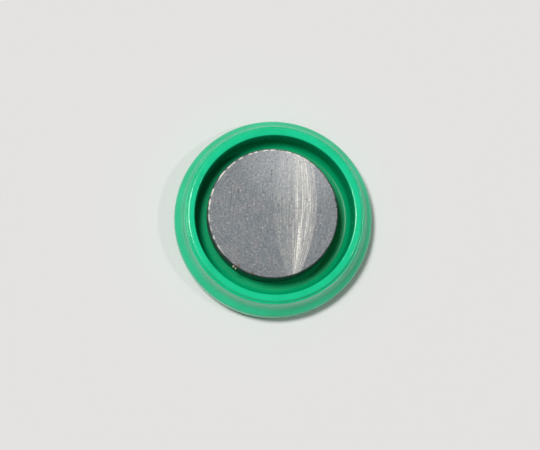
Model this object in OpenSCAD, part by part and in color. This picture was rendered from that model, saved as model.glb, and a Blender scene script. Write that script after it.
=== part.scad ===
// Round board magnet, lying on the front face of its cap with the pole face up.
// The cap is a one-piece moulding: a waisted grip with a raised rim and a tapered recess.
// A flat ferrite disc is glued to the floor of the recess, a little off centre.
// The origin is the centre of the cap's front face, and +Z points to the pole face.

/* [Magnet] */
// Diameter of the ferrite disc, nominally 20 mm before its edges are ground
magnet_d = 19.7; // [16:0.1:23]
// Thickness of the ferrite disc
magnet_t = 4.5; // [2:0.1:7]
// Bevel round both edges of the disc
magnet_bevel = 0.25; // [0.1:0.05:0.5]
// How far the disc was set off the centre of the cap towards +X
magnet_off_x = -0.3; // [-0.5:0.05:0.5]
// How far the disc was set off the centre of the cap towards +Y
magnet_off_y = 0.2; // [-0.5:0.05:0.5]

/* [Adhesive] */
// Thickness of the glue film between the recess floor and the disc
glue_t = 0.3; // [0.1:0.05:0.6]
// How far the film stops short of the edge of the disc
glue_inset = 0.7; // [0.4:0.1:3]
// How far the edge of the film bulges where it was squeezed
glue_bulge = 0.1; // [0.02:0.02:0.3]

/* [Recess] */
// Clearance round the disc at the floor of the recess
recess_gap = 1.9; // [0.6:0.1:3]
// How much wider the recess is at its mouth than at its floor, on each side
recess_taper = 0.35; // [0.1:0.05:2]
// Radius of the cove between the floor and the wall of the recess
recess_cove = 1; // [0.2:0.1:1.5]
// How far the pole face lies below the rim
face_drop = 0.2; // [0:0.05:0.8]

/* [Rim] */
// Width of the flat rim
rim_w = 1.1; // [0.6:0.1:2.5]
// Radius of both edges of the rim
rim_edge_r = 0.2; // [0.05:0.05:0.4]
// How far the rim stands up above the shoulder
step_h = 0.45; // [0.1:0.05:1]
// Width of the shoulder outside the rim
step_w = 0.35; // [0.15:0.05:1]
// Radius of the edge of the shoulder
shoulder_r = 0.2; // [0.05:0.05:0.4]

/* [Grip] */
// Thickness of the front of the cap under the recess
front_t = 2.5; // [1.5:0.1:6]
// How far the waist widens on its way down from the shoulder
waist_out = 0.4; // [0.1:0.05:1.5]
// How far the lip stands out past the foot of the waist
lip_out = 1.05; // [0.4:0.05:3]
// Height of the lip's upper corner above the front face
lip_h = 3; // [2.2:0.1:4]
// Height over which the lip falls away from the waist
lip_slope_h = 1.3; // [0.6:0.1:2]
// Radius of the hollow between the waist and the lip
hollow_r = 2.6; // [0.5:0.1:4]
// Radius of the upper edge of the lip
lip_r = 1.4; // [0.3:0.1:2]
// Radius of the edge of the front face
front_edge_r = 1.5; // [0.5:0.1:2]

/* [Hidden] */

$fn = 144;
// Straight steps in each rounded corner of a profile
ARC_STEPS = 8;

recess_h = glue_t + magnet_t + face_drop;
cap_h = front_t + recess_h;
magnet_r = magnet_d / 2;
floor_r = magnet_r + recess_gap;
mouth_r = floor_r + recess_taper;
rim_r = mouth_r + rim_w;
shoulder_out_r = rim_r + step_w;
waist_r = shoulder_out_r + waist_out;
cap_r = waist_r + lip_out;

function unit(v) = v / norm(v);

// Points that round the corner b between a and c by radius r.
// Half of each neighbouring side is left to the next corner, so a radius never outgrows its wall.
function rounded_corner(a, b, c, r) =
    let (
        to_a = unit(a - b),
        to_c = unit(c - b),
        half_angle = acos(to_a * to_c) / 2,
        reach = min(r / tan(half_angle), norm(a - b) / 2, norm(c - b) / 2),
        radius = reach * tan(half_angle),
        centre = b + unit(to_a + to_c) * radius / sin(half_angle),
        from = b + to_a * reach - centre,
        to = b + to_c * reach - centre,
        start = atan2(from.y, from.x),
        turn = (atan2(to.y, to.x) - start + 540) % 360 - 180
    )
    [for (i = [0 : ARC_STEPS]) centre + radius * [cos(start + turn * i / ARC_STEPS), sin(start + turn * i / ARC_STEPS)]];

// A closed outline from [radius, height, corner radius] rows; a corner radius of 0 stays sharp.
function outline(rows) =
    let (n = len(rows), p = [for (row = rows) [row[0], row[1]]])
    [
        for (i = [0 : n - 1])
            each rows[i][2] > 0
                ? rounded_corner(p[(i + n - 1) % n], p[i], p[(i + 1) % n], rows[i][2])
                : [p[i]]
    ];

// The moulded holder, turned from one closed profile
module cap() {
    color("mediumseagreen")
        rotate_extrude()
            polygon(outline([
                [0, 0, 0],
                [cap_r, 0, front_edge_r],
                [cap_r, lip_h, lip_r],
                [waist_r, lip_h + lip_slope_h, hollow_r],
                [shoulder_out_r, cap_h - step_h, shoulder_r],
                [rim_r, cap_h - step_h, 0],
                [rim_r, cap_h, rim_edge_r],
                [mouth_r, cap_h, rim_edge_r],
                [floor_r, front_t, recess_cove],
                [0, front_t, 0]
            ]));
}

// The ferrite disc, bevelled on both edges
module magnet() {
    color("slategray")
        translate([magnet_off_x, magnet_off_y, front_t + glue_t])
            rotate_extrude()
                polygon([
                    [0, 0],
                    [magnet_r - magnet_bevel, 0],
                    [magnet_r, magnet_bevel],
                    [magnet_r, magnet_t - magnet_bevel],
                    [magnet_r - magnet_bevel, magnet_t],
                    [0, magnet_t]
                ]);
}

// The glue film, with the bulging edge that it took when the disc was pressed down
module adhesive() {
    film_r = magnet_r - glue_inset;
    color("khaki")
        translate([magnet_off_x, magnet_off_y, front_t])
            rotate_extrude()
                polygon(outline([
                    [0, 0, 0],
                    [film_r, 0, 0],
                    [film_r + glue_bulge, glue_t / 2, glue_t / 2],
                    [film_r, glue_t, 0],
                    [0, glue_t, 0]
                ]));
}

cap();
magnet();
adhesive();
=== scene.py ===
"""A round board magnet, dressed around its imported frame: a glossy green cap lying on its front face, with a
ground ferrite disc glued into the recess of its open back."""

import math

import bpy
import numpy as np
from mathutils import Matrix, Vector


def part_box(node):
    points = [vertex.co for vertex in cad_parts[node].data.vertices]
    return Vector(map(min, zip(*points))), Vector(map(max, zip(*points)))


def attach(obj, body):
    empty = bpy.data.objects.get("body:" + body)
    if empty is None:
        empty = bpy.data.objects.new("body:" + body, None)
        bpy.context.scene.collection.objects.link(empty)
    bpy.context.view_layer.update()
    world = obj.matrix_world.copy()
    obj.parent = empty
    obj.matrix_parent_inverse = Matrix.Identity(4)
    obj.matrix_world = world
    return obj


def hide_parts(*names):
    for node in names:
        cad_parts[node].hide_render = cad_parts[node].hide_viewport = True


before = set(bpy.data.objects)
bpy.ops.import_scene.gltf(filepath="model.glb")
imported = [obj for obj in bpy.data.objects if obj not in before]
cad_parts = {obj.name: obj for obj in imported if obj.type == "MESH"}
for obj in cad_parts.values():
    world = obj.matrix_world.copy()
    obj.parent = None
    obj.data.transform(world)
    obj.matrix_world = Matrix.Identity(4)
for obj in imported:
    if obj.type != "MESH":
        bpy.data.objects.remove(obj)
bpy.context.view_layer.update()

MM = 0.001


# The cap is one glossy green injection moulding, slightly translucent, turned here from one closed outline.
# From its front face up it has a round lip, a hollow waist, a shoulder, a crease, a flat rim and a recess.
# It lies on the front face, and the disc is glued to the floor of the recess.

CAP_TURNS = 300
CAP_CORNER_STEPS = 12
CAP_GREEN = (0.006, 0.64, 0.31)
CAP_DEEP_GREEN = (0.004, 0.55, 0.25)
CAP_RECESS_SHADE = (0.001, 0.36, 0.14)


def rounded_outline(rows, steps):
    """Rounds each [radius, height, corner radius] row. The arc touches both sides at
    reach = r / tan(half angle) from the corner, with reach at most half of either side, and is drawn in the
    given number of steps."""
    corners = np.array([row[:2] for row in rows], dtype=float)
    points = []
    for here, (before, after) in enumerate(zip(np.roll(corners, 1, 0), np.roll(corners, -1, 0))):
        corner = corners[here]
        radius = rows[here][2]
        if radius == 0:
            points.append(corner[None, :])
            continue
        back = before - corner
        ahead = after - corner
        back_len, ahead_len = np.linalg.norm(back), np.linalg.norm(ahead)
        back, ahead = back / back_len, ahead / ahead_len
        half = math.acos(float(back @ ahead)) / 2
        reach = min(radius / math.tan(half), back_len / 2, ahead_len / 2)
        radius = reach * math.tan(half)
        middle = back + ahead
        centre = corner + middle / np.linalg.norm(middle) * radius / math.sin(half)
        first = corner + back * reach - centre
        last = corner + ahead * reach - centre
        start = math.atan2(first[1], first[0])
        turn = (math.atan2(last[1], last[0]) - start + 3 * math.pi) % (2 * math.pi) - math.pi
        angle = start + turn * np.linspace(0, 1, steps + 1)
        points.append(centre + radius * np.column_stack([np.cos(angle), np.sin(angle)]))
    return np.vstack(points)


def turned_mesh(name, radius, height, centre=(0.0, 0.0)):
    """A closed body turned about +Z: x = r cos t + cx, y = r sin t + cy, z = h, for arrays r and h of rows by
    turns. The first and last rows lie on the axis and become one pole point each."""
    rows, turns = radius.shape
    angle = np.arange(turns) * 2 * math.pi / turns
    x = radius * np.cos(angle) + centre[0]
    y = radius * np.sin(angle) + centre[1]
    rings = np.stack([x, y, height], axis=-1)[1:-1].reshape(-1, 3)
    poles = np.array([[centre[0], centre[1], height[0].mean()], [centre[0], centre[1], height[-1].mean()]])
    points = np.vstack([rings, poles])
    ring = np.arange((rows - 2) * turns).reshape(rows - 2, turns)
    onward = np.roll(ring, -1, axis=1)
    quads = np.stack([ring[:-1], onward[:-1], onward[1:], ring[1:]], axis=-1).reshape(-1, 4)
    low_pole = np.full(turns, len(rings))
    high_pole = low_pole + 1
    caps = np.vstack([
        np.column_stack([low_pole, onward[0], ring[0]]),
        np.column_stack([high_pole, ring[-1], onward[-1]]),
    ])
    mesh = bpy.data.meshes.new(name)
    mesh.from_pydata(points.tolist(), [], quads.tolist() + caps.tolist())
    mesh.polygons.foreach_set("use_smooth", np.ones(len(mesh.polygons), dtype=bool))
    mesh.update()
    piece = bpy.data.objects.new(name, mesh)
    bpy.context.collection.objects.link(piece)
    return piece


cap_low, cap_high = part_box("cap")
cap_r = (cap_high.x - cap_low.x) / 2
cap_h = cap_high.z
lip_out = 1.05 * MM
waist_out = 0.4 * MM
step_w = 0.35 * MM
step_h = 0.45 * MM
rim_w = 1.1 * MM
recess_taper = 0.35 * MM
front_t = 2.5 * MM
lip_h = 3.0 * MM
lip_slope_h = 1.3 * MM
lip_edge_r = 1.4 * MM
front_edge_r = 1.5 * MM
hollow_r = 2.6 * MM
shoulder_edge_r = 0.4 * MM
shoulder_drop = 0.22 * MM
crease = 0.15 * MM
crease_edge_r = 0.06 * MM
crease_foot_r = 0.03 * MM
rim_flare = 0.02 * MM
rim_outer_edge_r = 0.36 * MM
rim_inner_edge_r = 0.2 * MM
recess_cove = 1.0 * MM
waist_r = cap_r - lip_out
shoulder_r = waist_r - waist_out
rim_r = shoulder_r - step_w
mouth_r = rim_r - rim_w
floor_r = mouth_r - recess_taper

cap_outline = rounded_outline(
    [
        [0, 0, 0],
        [cap_r, 0, front_edge_r],
        [cap_r, lip_h, lip_edge_r],
        [waist_r, lip_h + lip_slope_h, hollow_r],
        [shoulder_r, cap_h - step_h - shoulder_drop, shoulder_edge_r],
        [rim_r + crease, cap_h - step_h, crease_edge_r],
        [rim_r + rim_flare, cap_h - step_h - crease, crease_foot_r],
        [rim_r + rim_flare, cap_h, rim_outer_edge_r],
        [mouth_r, cap_h, rim_inner_edge_r],
        [floor_r, front_t, recess_cove],
        [0, front_t, 0],
    ],
    CAP_CORNER_STEPS,
)
cap = turned_mesh(
    "cap_moulding",
    np.repeat(cap_outline[:, :1], CAP_TURNS, axis=1),
    np.repeat(cap_outline[:, 1:], CAP_TURNS, axis=1),
)


def new_finish(name):
    """A new material with a Principled shader, returned as material, node tree and shader."""
    finish = bpy.data.materials.new(name)
    finish.use_nodes = True
    tree = finish.node_tree
    return finish, tree, tree.nodes["Principled BSDF"]


def feed(tree, target, source):
    """Sets a socket to a number or colour, or links it when the source is another node's output."""
    if isinstance(source, bpy.types.NodeSocket):
        tree.links.new(source, target)
    else:
        target.default_value = source


def sums(tree, operation, *terms):
    """One step of arithmetic on numbers or node outputs."""
    step = tree.nodes.new("ShaderNodeMath")
    step.operation = operation
    for socket, term in zip(step.inputs, terms):
        feed(tree, socket, term)
    return step.outputs["Value"]


def grain(tree, vector, scale, detail=2.0, roughness=0.5, distortion=0.0):
    """Smooth noise from 0 to 1 over the given coordinates."""
    noise = tree.nodes.new("ShaderNodeTexNoise")
    feed(tree, noise.inputs["Vector"], vector)
    noise.inputs["Scale"].default_value = scale
    noise.inputs["Detail"].default_value = detail
    noise.inputs["Roughness"].default_value = roughness
    noise.inputs["Distortion"].default_value = distortion
    return noise.outputs["Fac"]


def graded(tree, value, *stops):
    """Maps a value through (place, number) stops, with straight lines between them."""
    ramp = tree.nodes.new("ShaderNodeValToRGB")
    feed(tree, ramp.inputs["Fac"], value)
    entries = ramp.color_ramp.elements
    while len(entries) < len(stops):
        entries.new(0.5)
    for entry, (place, number) in zip(entries, stops):
        entry.position = place
        entry.color = (number, number, number, 1)
    return ramp.outputs["Color"]


def blended(tree, amount, first, second, mode="MIX"):
    """Mixes two colours by an amount from 0 to 1."""
    mix = tree.nodes.new("ShaderNodeMix")
    mix.data_type = "RGBA"
    mix.blend_type = mode
    feed(tree, mix.inputs["Factor"], amount)
    for socket, colour in ((mix.inputs["A"], first), (mix.inputs["B"], second)):
        feed(tree, socket, colour if isinstance(colour, bpy.types.NodeSocket) else (*colour, 1))
    return mix.outputs["Result"]


def relief(tree, height, depth, under=None):
    """A bump of the given depth in metres, laid over another bump where one is given."""
    bump = tree.nodes.new("ShaderNodeBump")
    bump.inputs["Distance"].default_value = depth
    feed(tree, bump.inputs["Height"], height)
    if under is not None:
        feed(tree, bump.inputs["Normal"], under)
    return bump.outputs["Normal"]


def millimetres(tree, centre=(0.0, 0.0, 0.0)):
    """Object coordinates in millimetres from a point given in metres."""
    place = tree.nodes.new("ShaderNodeTexCoord")
    scale = tree.nodes.new("ShaderNodeMapping")
    scale.inputs["Scale"].default_value = (1 / MM,) * 3
    scale.inputs["Location"].default_value = [-c / MM for c in centre]
    tree.links.new(place.outputs["Object"], scale.inputs["Vector"])
    return scale.outputs["Vector"]


def cap_plastic():
    """Glossy green plastic: cloudy colour from the melt flow, faint turning lines from the mould, rubbing.
    Inside the recess, where out < mouth and z > front_t, it is darkened with painted shade and less polished."""
    finish, tree, shader = new_finish("cap_plastic")
    place = millimetres(tree)
    cloud = grain(tree, place, 0.22, detail=3)
    colour = blended(tree, graded(tree, cloud, (0.35, 0), (0.7, 1)), CAP_GREEN, CAP_DEEP_GREEN)
    axes = tree.nodes.new("ShaderNodeSeparateXYZ")
    tree.links.new(place, axes.inputs["Vector"])
    squares = [sums(tree, "MULTIPLY", axis, axis) for axis in axes.outputs[:2]]
    out = sums(tree, "SQRT", sums(tree, "ADD", *squares))
    inside = graded(tree, sums(tree, "SUBTRACT", mouth_r / MM + 0.5, out), (0.35, 0), (0.6, 1))
    above_floor = sums(tree, "SUBTRACT", axes.outputs["Z"], front_t / MM - 0.5)
    above_front = graded(tree, above_floor, (0.2, 0), (0.4, 1))
    # Painted shade: the walls and floor of the recess get a darker green than the rest of the cap.
    colour = blended(tree, sums(tree, "MULTIPLY", inside, above_front), colour, CAP_RECESS_SHADE)
    tree.links.new(colour, shader.inputs["Base Color"])
    rubbing = grain(tree, place, 1.6, detail=4, roughness=0.55)
    polish = graded(tree, rubbing, (0.3, 0.09), (0.75, 0.17))
    tree.links.new(sums(tree, "MULTIPLY_ADD", inside, 0.14, polish), shader.inputs["Roughness"])
    tree.links.new(sums(tree, "MULTIPLY_ADD", inside, -0.3, 0.4), shader.inputs["Specular IOR Level"])
    rings = tree.nodes.new("ShaderNodeTexWave")
    rings.wave_type = "RINGS"
    rings.rings_direction = "Z"
    rings.inputs["Scale"].default_value = 1.1
    rings.inputs["Distortion"].default_value = 0.15
    tree.links.new(place, rings.inputs["Vector"])
    turned = relief(tree, rings.outputs["Fac"], 0.0012 * MM)
    tree.links.new(relief(tree, rubbing, 0.0018 * MM, turned), shader.inputs["Normal"])
    shader.inputs["IOR"].default_value = 1.5
    shader.inputs["Subsurface Weight"].default_value = 0.12
    shader.inputs["Subsurface Radius"].default_value = (0.3, 1.0, 0.6)
    shader.inputs["Subsurface Scale"].default_value = 1.0 * MM
    return finish


cap.data.materials.append(cap_plastic())
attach(cap, "root")
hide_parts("cap")


# The disc is sintered ferrite, ground flat on both faces by a cup wheel and chipped along its thin bevels.
# It was set into wet glue a little off the centre of the cap, and its pole face lies just below the rim.

DISC_TURNS = 580
DISC_FACE_ROWS = 120
DISC_BEVEL = 0.14 * MM
DISC_SEED = 11
PIT_COUNT = 70
CHIP_COUNT = 14
FERRITE_BLUE = (0.098, 0.130, 0.150)
FERRITE_MAUVE = (0.150, 0.158, 0.172)
FERRITE_PALE = (0.44, 0.46, 0.48)
PALE_PLACE = (3.5, 9.5, 0)
# FERRITE_GLINT_AND_SPECK is the colour of pale specks and fine marks, and of the painted highlights on the
# band and the upper-left bevel.
FERRITE_GLINT_AND_SPECK = (0.92, 0.88, 0.80)
# FERRITE_PIT_AND_EDGE_SHADE colours pits, blots and dark specks, and also a painted shade ring at the disc's
# edge.
FERRITE_PIT_AND_EDGE_SHADE = (0.045, 0.045, 0.055)
RESIDUE_BROWN = (0.13, 0.07, 0.035)
RESIDUE_PLACES = ((-5.16, -7.94, 0), (-3.08, -8.95, 0))

disc_low, disc_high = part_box("magnet")
disc_centre = (disc_low + disc_high) / 2
disc_r = (disc_high.x - disc_low.x) / 2
disc_draws = np.random.default_rng(DISC_SEED)


def ragged(angle, waves, draws):
    """A closed random line round the disc: the sum over k of cos(k t + phase) / sqrt(count), k in waves."""
    phases = draws.uniform(0, 2 * math.pi, len(waves))
    return np.cos(np.outer(waves, angle) + phases[:, None]).sum(axis=0) / math.sqrt(len(waves))


def ferrite_disc():
    """Rows of the disc from its lower pole to its upper one, as radius and height arrays of rows by turns.
    The bevel's width is DISC_BEVEL (1 + 0.12 ragged(t)) plus a bite exp(-((t - t0) / w)^2) for each chip.
    The face sinks by depth exp(-(d / size)^4) at each pit."""
    angle = np.arange(DISC_TURNS) * 2 * math.pi / DISC_TURNS
    wave = ragged(angle, np.arange(9, 60, 3), disc_draws)
    bevel = DISC_BEVEL * np.clip(1 + 0.12 * wave, 0.6, 1.4)
    for chip in range(CHIP_COUNT):
        place = disc_draws.uniform(0, 2 * math.pi)
        width = disc_draws.uniform(0.012, 0.04)
        bite = disc_draws.uniform(0.04, 0.18) * MM
        away = (angle - place + math.pi) % (2 * math.pi) - math.pi
        bevel = bevel + bite * np.exp(-((away / width) ** 2))
    foot = disc_low.z
    top = disc_high.z
    drop = np.clip(bevel * 0.85, 0, 0.5 * MM)
    none = np.zeros(DISC_TURNS)
    full = none + disc_r
    edge_r = disc_r - bevel
    shares = np.linspace(1, 0, DISC_FACE_ROWS) ** 0.85
    face_r = np.outer(shares, edge_r)
    radius = np.vstack([none, full - DISC_BEVEL, full, full, full - 0.12 * bevel, edge_r, face_r])
    height = np.vstack([
        none + foot,
        none + foot,
        none + foot + DISC_BEVEL,
        top - drop * 1.6,
        top - drop,
        none + top - 0.02 * MM,
        np.full_like(face_r, top),
    ])
    x = face_r * np.cos(angle)
    y = face_r * np.sin(angle)
    for pit in range(PIT_COUNT):
        place_r = disc_r * 0.95 * math.sqrt(disc_draws.uniform())
        place_t = disc_draws.uniform(0, 2 * math.pi)
        size = disc_draws.uniform(0.07, 0.19) * MM
        depth = disc_draws.uniform(0.02, 0.07) * MM
        away = np.hypot(x - place_r * math.cos(place_t), y - place_r * math.sin(place_t)) / size
        height[-DISC_FACE_ROWS:] -= depth * np.exp(-np.minimum(away, 4) ** 4)
    height[-1] = top
    return turned_mesh("ferrite_disc", radius, height, (disc_centre.x, disc_centre.y))


def ground_ferrite():
    """Ground ferrite: blue-grey with specks and blots, paler round PALE_PLACE, and a painted highlight: a
    bright band of glinting marks between the arcs left(y) = 0.0165 (y - 1.5)^2 and right(y) = 6.75 - 0.022 (y
    - 2)^2, in millimetres. The marks follow u = (x - left) / (right - left), so they close in on each other
      as the band does.
    The bevel has a painted highlight on its upper-left side, broken into patches, and a painted shade ring
    darkens the outermost edge; brown glue has dried on two spots of the edge."""
    finish, tree, shader = new_finish("ground_ferrite")
    place = millimetres(tree, (disc_centre.x, disc_centre.y, disc_high.z))
    axes = tree.nodes.new("ShaderNodeSeparateXYZ")
    tree.links.new(place, axes.inputs["Vector"])
    x, y = axes.outputs[:2]

    def arc(middle, bow):
        """The sideways reach bow (y - middle)^2 of a grinding arc."""
        away = sums(tree, "SUBTRACT", y, middle)
        return sums(tree, "MULTIPLY", sums(tree, "MULTIPLY", away, away), bow)

    left = arc(1.5, 0.0165)
    right = sums(tree, "SUBTRACT", 6.75, arc(2.0, 0.022))
    across = sums(tree, "DIVIDE", sums(tree, "SUBTRACT", x, left), sums(tree, "SUBTRACT", right, left))

    def marks(across_scale, along_scale, detail):
        """Streaks: noise that is stretched along the grinding arcs."""
        lanes = tree.nodes.new("ShaderNodeCombineXYZ")
        feed(tree, lanes.inputs["X"], sums(tree, "MULTIPLY", across, across_scale))
        feed(tree, lanes.inputs["Y"], sums(tree, "MULTIPLY", y, along_scale))
        return grain(tree, lanes.outputs["Vector"], 1.0, detail=detail, roughness=0.65)

    def away_from(point):
        """Distance in millimetres from a point of the face."""
        gap = tree.nodes.new("ShaderNodeVectorMath")
        gap.operation = "DISTANCE"
        tree.links.new(place, gap.inputs[0])
        gap.inputs[1].default_value = point
        return gap.outputs["Value"]

    left_half = (0.0, 0.0), (0.08, 0.2), (0.42, 0.35), (0.58, 1.0)
    right_half = (0.84, 1.0), (0.92, 0.35), (0.97, 0.7), (1.0, 0.0)
    band = graded(tree, across, *left_half, *right_half)
    coarse = graded(tree, marks(34.0, 0.10, 4), (0.50, 0), (0.60, 1))
    fine = graded(tree, marks(80.0, 0.6, 3), (0.42, 0), (0.66, 1))
    speckle = grain(tree, place, 3.0, detail=4, roughness=0.8)
    mottle = grain(tree, place, 0.45, detail=5, roughness=0.65)
    body = blended(tree, graded(tree, mottle, (0.4, 0), (0.6, 1)), FERRITE_BLUE, FERRITE_MAUVE)
    paled = sums(tree, "MULTIPLY", away_from(PALE_PLACE), 0.05)
    body = blended(tree, graded(tree, paled, (0.0, 0.8), (0.2, 0.5), (0.48, 0)), body, FERRITE_PALE)
    blot = grain(tree, place, 1.4, detail=2)
    body = blended(tree, graded(tree, blot, (0.27, 0.9), (0.31, 0)), body, FERRITE_PIT_AND_EDGE_SHADE)
    body = blended(tree, graded(tree, speckle, (0.36, 0.8), (0.46, 0)), body, FERRITE_PIT_AND_EDGE_SHADE)
    body = blended(tree, graded(tree, speckle, (0.57, 0), (0.70, 0.5)), body, FERRITE_GLINT_AND_SPECK)
    body = blended(tree, sums(tree, "MULTIPLY", fine, 0.12), body, FERRITE_GLINT_AND_SPECK)
    broken = graded(tree, speckle, (0.40, 0.35), (0.56, 1))
    streaks = sums(tree, "MULTIPLY", sums(tree, "MULTIPLY", coarse, broken), 0.85)
    haze = sums(tree, "MULTIPLY_ADD", fine, 0.25, 0.13)
    # Painted highlight: the glinting band of grinding marks is coloured near white.
    band_glint = sums(tree, "MULTIPLY", band, sums(tree, "ADD", streaks, haze))
    colour = blended(tree, band_glint, body, FERRITE_GLINT_AND_SPECK)
    edge_share = sums(tree, "SUBTRACT", away_from((0, 0, 0)), 9.0)
    edge = graded(tree, edge_share, (0.50, 0), (0.60, 1))
    # Painted highlight: the upper-left side of the bevel, where the lamp glints, is coloured near white in
    # broken patches.
    leftward = sums(tree, "MULTIPLY_ADD", sums(tree, "SUBTRACT", y, x), 0.04, 0.5)
    lit_side = graded(tree, leftward, (0.5, 0), (0.7, 1))
    glint_patches = graded(tree, grain(tree, place, 1.1, detail=3), (0.44, 0), (0.54, 0.9))
    bevel_glint = sums(tree, "MULTIPLY", edge, sums(tree, "MULTIPLY", lit_side, glint_patches))
    colour = blended(tree, bevel_glint, colour, FERRITE_GLINT_AND_SPECK)
    # Painted shade: a dark ring along the outermost edge of the disc.
    colour = blended(tree, graded(tree, edge_share, (0.73, 0), (0.79, 0.85)), colour, FERRITE_PIT_AND_EDGE_SHADE)
    brown = [graded(tree, away_from(point), (0.12, 0.8), (0.38, 0)) for point in RESIDUE_PLACES]
    colour = blended(tree, sums(tree, "MAXIMUM", *brown), colour, RESIDUE_BROWN)
    tree.links.new(colour, shader.inputs["Base Color"])
    tree.links.new(graded(tree, speckle, (0.3, 0.55), (0.7, 0.4)), shader.inputs["Roughness"])
    grooves = relief(tree, coarse, 0.008 * MM)
    grooves = relief(tree, fine, 0.004 * MM, grooves)
    tree.links.new(relief(tree, speckle, 0.012 * MM, grooves), shader.inputs["Normal"])
    return finish


disc = ferrite_disc()
disc.data.materials.append(ground_ferrite())
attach(disc, "root")
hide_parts("magnet")


# The glue is a thin film of cured adhesive between the floor of the recess and the disc.
# It was squeezed outward as the disc went down, so its edge wanders and bulges, and stays under the disc.
# Two crumbs of it stick to the side of the disc, just below the face.

FILM_TURNS = 180
FILM_BULGE = 0.1 * MM
FILM_SHY = 0.3 * MM
FILM_WANDER = 0.07 * MM
FILM_AMBER = (0.42, 0.37, 0.24)
FILM_PALE = (0.54, 0.50, 0.37)
FILM_SEED = 5
CRUMBS = ((-5.92, -8.05, 0.19), (-5.60, -8.36, 0.16))
CRUMB_DROP = 0.3
CRUMB_TURNS = 24
CRUMB_ROWS = 13

film_low, film_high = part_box("adhesive")
film_centre = (film_low + film_high) / 2


def glue_film():
    """The film's edge: r(t, s) = R - shy + wander ragged(t) + bulge sin(pi s), for s from 0 to 1 upward."""
    angle = np.arange(FILM_TURNS) * 2 * math.pi / FILM_TURNS
    reach = (film_high.x - film_low.x) / 2 - FILM_SHY
    wander = FILM_WANDER * ragged(angle, np.arange(2, 12), np.random.default_rng(FILM_SEED))
    up = np.linspace(0, 1, 9)[:, None]
    radius = reach + wander + FILM_BULGE * np.sin(math.pi * up)
    height = film_low.z + (film_high.z - film_low.z) * up + 0 * radius
    pole = np.zeros((1, FILM_TURNS))
    radius = np.vstack([pole, radius, pole])
    height = np.vstack([height[:1], height, height[-1:]])
    return turned_mesh("glue_film", radius, height, (film_centre.x, film_centre.y))


def cured_glue():
    """Clear amber adhesive, a little cloudy."""
    finish, tree, shader = new_finish("cured_glue")
    place = millimetres(tree)
    cloud = grain(tree, place, 1.2, detail=3)
    tree.links.new(blended(tree, cloud, FILM_AMBER, FILM_PALE), shader.inputs["Base Color"])
    tree.links.new(graded(tree, cloud, (0.3, 0.18), (0.7, 0.35)), shader.inputs["Roughness"])
    tree.links.new(relief(tree, cloud, 0.01 * MM), shader.inputs["Normal"])
    return finish


film = glue_film()
film.data.materials.append(cured_glue())
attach(film, "root")
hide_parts("adhesive")


def glue_crumb(number, x, y, size):
    """A lump of glue beside the disc: r(t, s) = k(t) sin(s) and h(t, s) = top - drop - k(t) cos(s), with
    k(t) = size (1 + 0.15 ragged(t))."""
    turn = np.arange(CRUMB_TURNS) * 2 * math.pi / CRUMB_TURNS
    lump = size * (1 + 0.15 * ragged(turn, np.arange(2, 6), np.random.default_rng(number)))
    down = np.linspace(0, math.pi, CRUMB_ROWS)[:, None]
    height = disc_high.z - MM * (CRUMB_DROP + lump * np.cos(down))
    centre = (disc_centre.x + x * MM, disc_centre.y + y * MM)
    return turned_mesh(f"glue_crumb_{number}", MM * lump * np.sin(down), height, centre)


for number, (crumb_x, crumb_y, crumb_size) in enumerate(CRUMBS):
    crumb = glue_crumb(number, crumb_x, crumb_y, crumb_size)
    crumb.data.materials.append(film.data.materials[0])
    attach(crumb, "root")


# The magnet lies on a plain pale sheet, which isn't part of the object.

SHEET_HALF = 0.6
SHEET_COLOUR = (0.772, 0.756, 0.752)

sheet_mesh = bpy.data.meshes.new("pale_sheet")
sheet_corners = [(-1, -1), (1, -1), (1, 1), (-1, 1)]
sheet_mesh.from_pydata([(SHEET_HALF * x, SHEET_HALF * y, 0) for x, y in sheet_corners], [], [(0, 1, 2, 3)])
sheet = bpy.data.objects.new("pale_sheet", sheet_mesh)
bpy.context.collection.objects.link(sheet)
sheet_finish, _, sheet_shader = new_finish("pale_sheet")
sheet_shader.inputs["Base Color"].default_value = (*SHEET_COLOUR, 1)
sheet_shader.inputs["Roughness"].default_value = 0.9
sheet_shader.inputs["Specular IOR Level"].default_value = 0.1
sheet_mesh.materials.append(sheet_finish)


# A high lamp at the upper left is the key light, a weak one at the right lifts the shaded side,
# and a pale sky gives the rest. Together they light the sheet at a level of about 1.

KEY_AZIMUTH = 149.0
KEY_ELEVATION = 73.0
KEY_STRENGTH = 2.38
KEY_WIDTH = 13.0
FILL_AZIMUTH = -5.0
FILL_ELEVATION = 60.0
FILL_STRENGTH = 0.3
FILL_WIDTH = 3.0
SKY_LEVEL = 0.2


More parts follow.
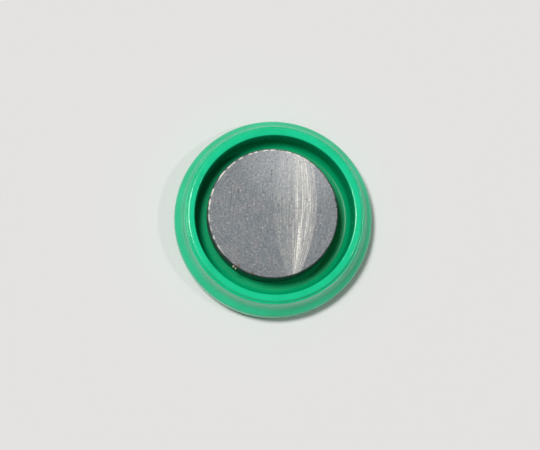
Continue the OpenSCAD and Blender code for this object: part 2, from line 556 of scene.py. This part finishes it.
def toward(azimuth, elevation):
    """Unit vector with the given azimuth from +X towards +Y and elevation above the sheet, in degrees."""
    a, e = math.radians(azimuth), math.radians(elevation)
    return np.array([math.cos(a) * math.cos(e), math.sin(a) * math.cos(e), math.sin(e)])


def hung(name, data, azimuth, elevation, distance, aim=(0.0, 0.0, 0.0)):
    """Hangs a lamp or camera at a distance along a direction d and turns it to face the aim, with +Y upward
    in its view: its axes are x = Y cross d, y = d cross x and z = d, each of unit length."""
    away = toward(azimuth, elevation)
    right = np.cross((0.0, 1.0, 0.0), away)
    right /= np.linalg.norm(right)
    seat = np.eye(4)
    seat[:3, :3] = np.column_stack([right, np.cross(away, right), away])
    seat[:3, 3] = np.array(aim) + away * distance
    holder = bpy.data.objects.new(name, data)
    bpy.context.collection.objects.link(holder)
    holder.matrix_world = Matrix(seat.tolist())
    return holder


key = bpy.data.lights.new("key", "SUN")
key.energy = KEY_STRENGTH
key.angle = math.radians(KEY_WIDTH)
hung("key", key, KEY_AZIMUTH, KEY_ELEVATION, 0.5)
fill = bpy.data.lights.new("fill", "SUN")
fill.energy = FILL_STRENGTH
fill.angle = math.radians(FILL_WIDTH)
hung("fill", fill, FILL_AZIMUTH, FILL_ELEVATION, 0.5)

sky = bpy.data.worlds.new("sky")
bpy.context.scene.world = sky
sky.use_nodes = True
sky.node_tree.nodes["Background"].inputs["Color"].default_value = (1, 1, 1, 1)
sky.node_tree.nodes["Background"].inputs["Strength"].default_value = SKY_LEVEL


# The camera looks down on the magnet from just off the vertical, a little in front of it and to its left.

VIEW_TILT = 8.8
VIEW_AZIMUTH = 249.0
VIEW_DISTANCE = 0.6
VIEW_WIDTH = 81.97 * MM
AIM = (-0.44 * MM, -0.81 * MM, 2.0 * MM)
SENSOR = 36.0

camera_data = bpy.data.cameras.new("camera")
camera_data.sensor_width = SENSOR
camera_data.lens = SENSOR * VIEW_DISTANCE / VIEW_WIDTH
camera_data.clip_start = 0.01
camera_data.clip_end = 5.0
camera = hung("camera", camera_data, VIEW_AZIMUTH, 90 - VIEW_TILT, VIEW_DISTANCE, AIM)
bpy.context.scene.camera = camera
bpy.context.scene.view_settings.view_transform = "Standard"
